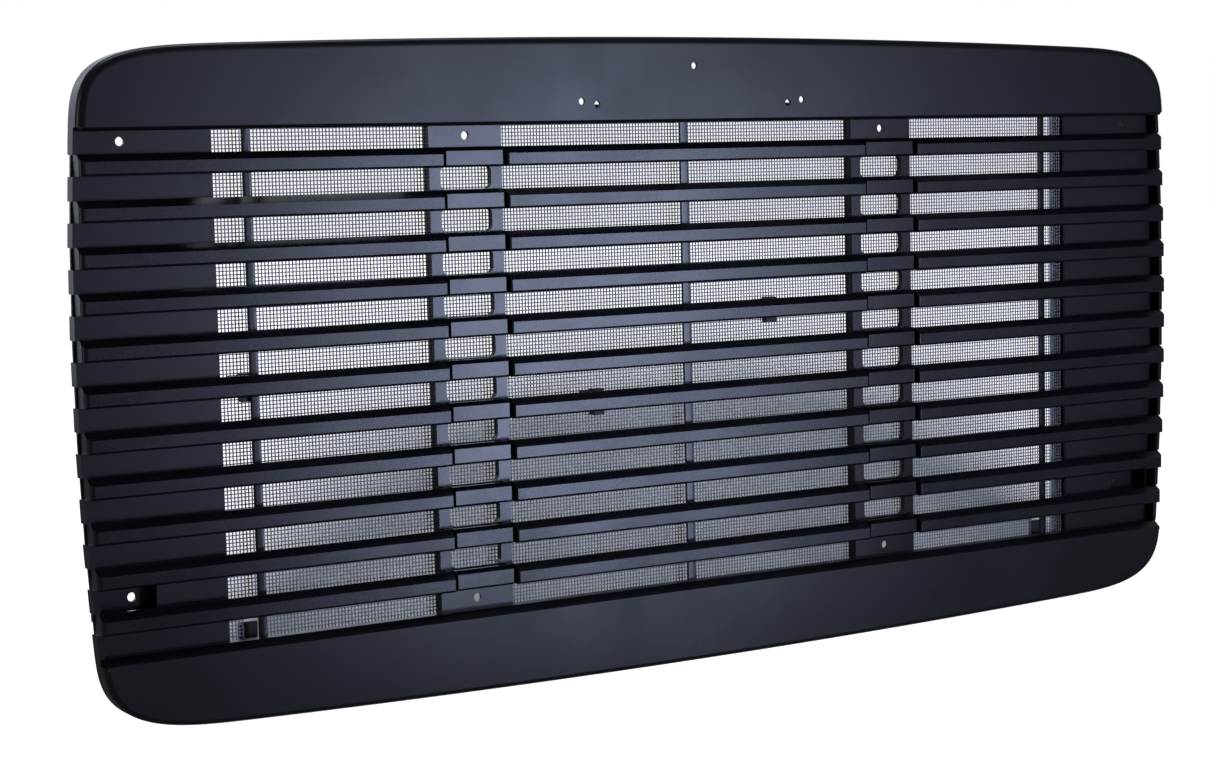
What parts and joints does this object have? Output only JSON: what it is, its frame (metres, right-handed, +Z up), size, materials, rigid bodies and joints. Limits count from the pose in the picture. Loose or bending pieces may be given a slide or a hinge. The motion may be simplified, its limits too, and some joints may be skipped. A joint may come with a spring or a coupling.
{
  "type": "front grille",
  "caption": "Truck hood grille with a header, a footer, three banks of louvre blades on slotted posts and ribs, and a woven wire bug screen behind them",
  "frame": {"origin": "centre of the four post bolts, on the front face of the posts", "axes": "+X is the grille's width, to the right seen from the front; +Y runs from the front to the back; +Z is up"},
  "size_m": [1.1838, 0.055, 0.5761],
  "materials": {
    "shell": "satin black moulded plastic with a fine texture",
    "blade": "satin black moulded plastic, slightly polished on the faces",
    "post": "satin black moulded plastic",
    "wire": "bare woven wire, dull",
    "binding": "dark moulded plastic",
    "fastener": "zinc-plated steel"
  },
  "bodies": {
    "root": {"header_panel": "shell", "footer_panel": "shell", "left_end_panel": "shell", "right_end_panel": "shell", "left_post": "post", "right_post": "post", "left_rib": "post", "centre_rib": "post", "right_rib": "post", "left_louvre_01": "blade", "left_louvre_02": "blade", "left_louvre_03": "blade", "left_louvre_04": "blade", "left_louvre_05": "blade", "left_louvre_06": "blade", "left_louvre_07": "blade", "left_louvre_08": "blade", "left_louvre_09": "blade", "left_louvre_10": "blade", "left_louvre_11": "blade", "centre_louvre_01": "blade", "centre_louvre_02": "blade", "centre_louvre_03": "blade", "centre_louvre_04": "blade", "centre_louvre_05": "blade", "centre_louvre_06": "blade", "centre_louvre_07": "blade", "centre_louvre_08": "blade", "centre_louvre_09": "blade", "centre_louvre_10": "blade", "centre_louvre_11": "blade", "right_louvre_01": "blade", "right_louvre_02": "blade", "right_louvre_03": "blade", "right_louvre_04": "blade", "right_louvre_05": "blade", "right_louvre_06": "blade", "right_louvre_07": "blade", "right_louvre_08": "blade", "right_louvre_09": "blade", "right_louvre_10": "blade", "right_louvre_11": "blade", "bug_screen": "wire", "screen_top_rail": "binding", "screen_bottom_rail": "binding", "screen_left_binding": "binding", "screen_right_binding": "binding", "screen_clips": "binding", "clip_washers": "fastener", "rail_screws": "fastener", "left_lower_tab": "binding", "right_lower_tab": "binding"}
  },
  "joints": []
}
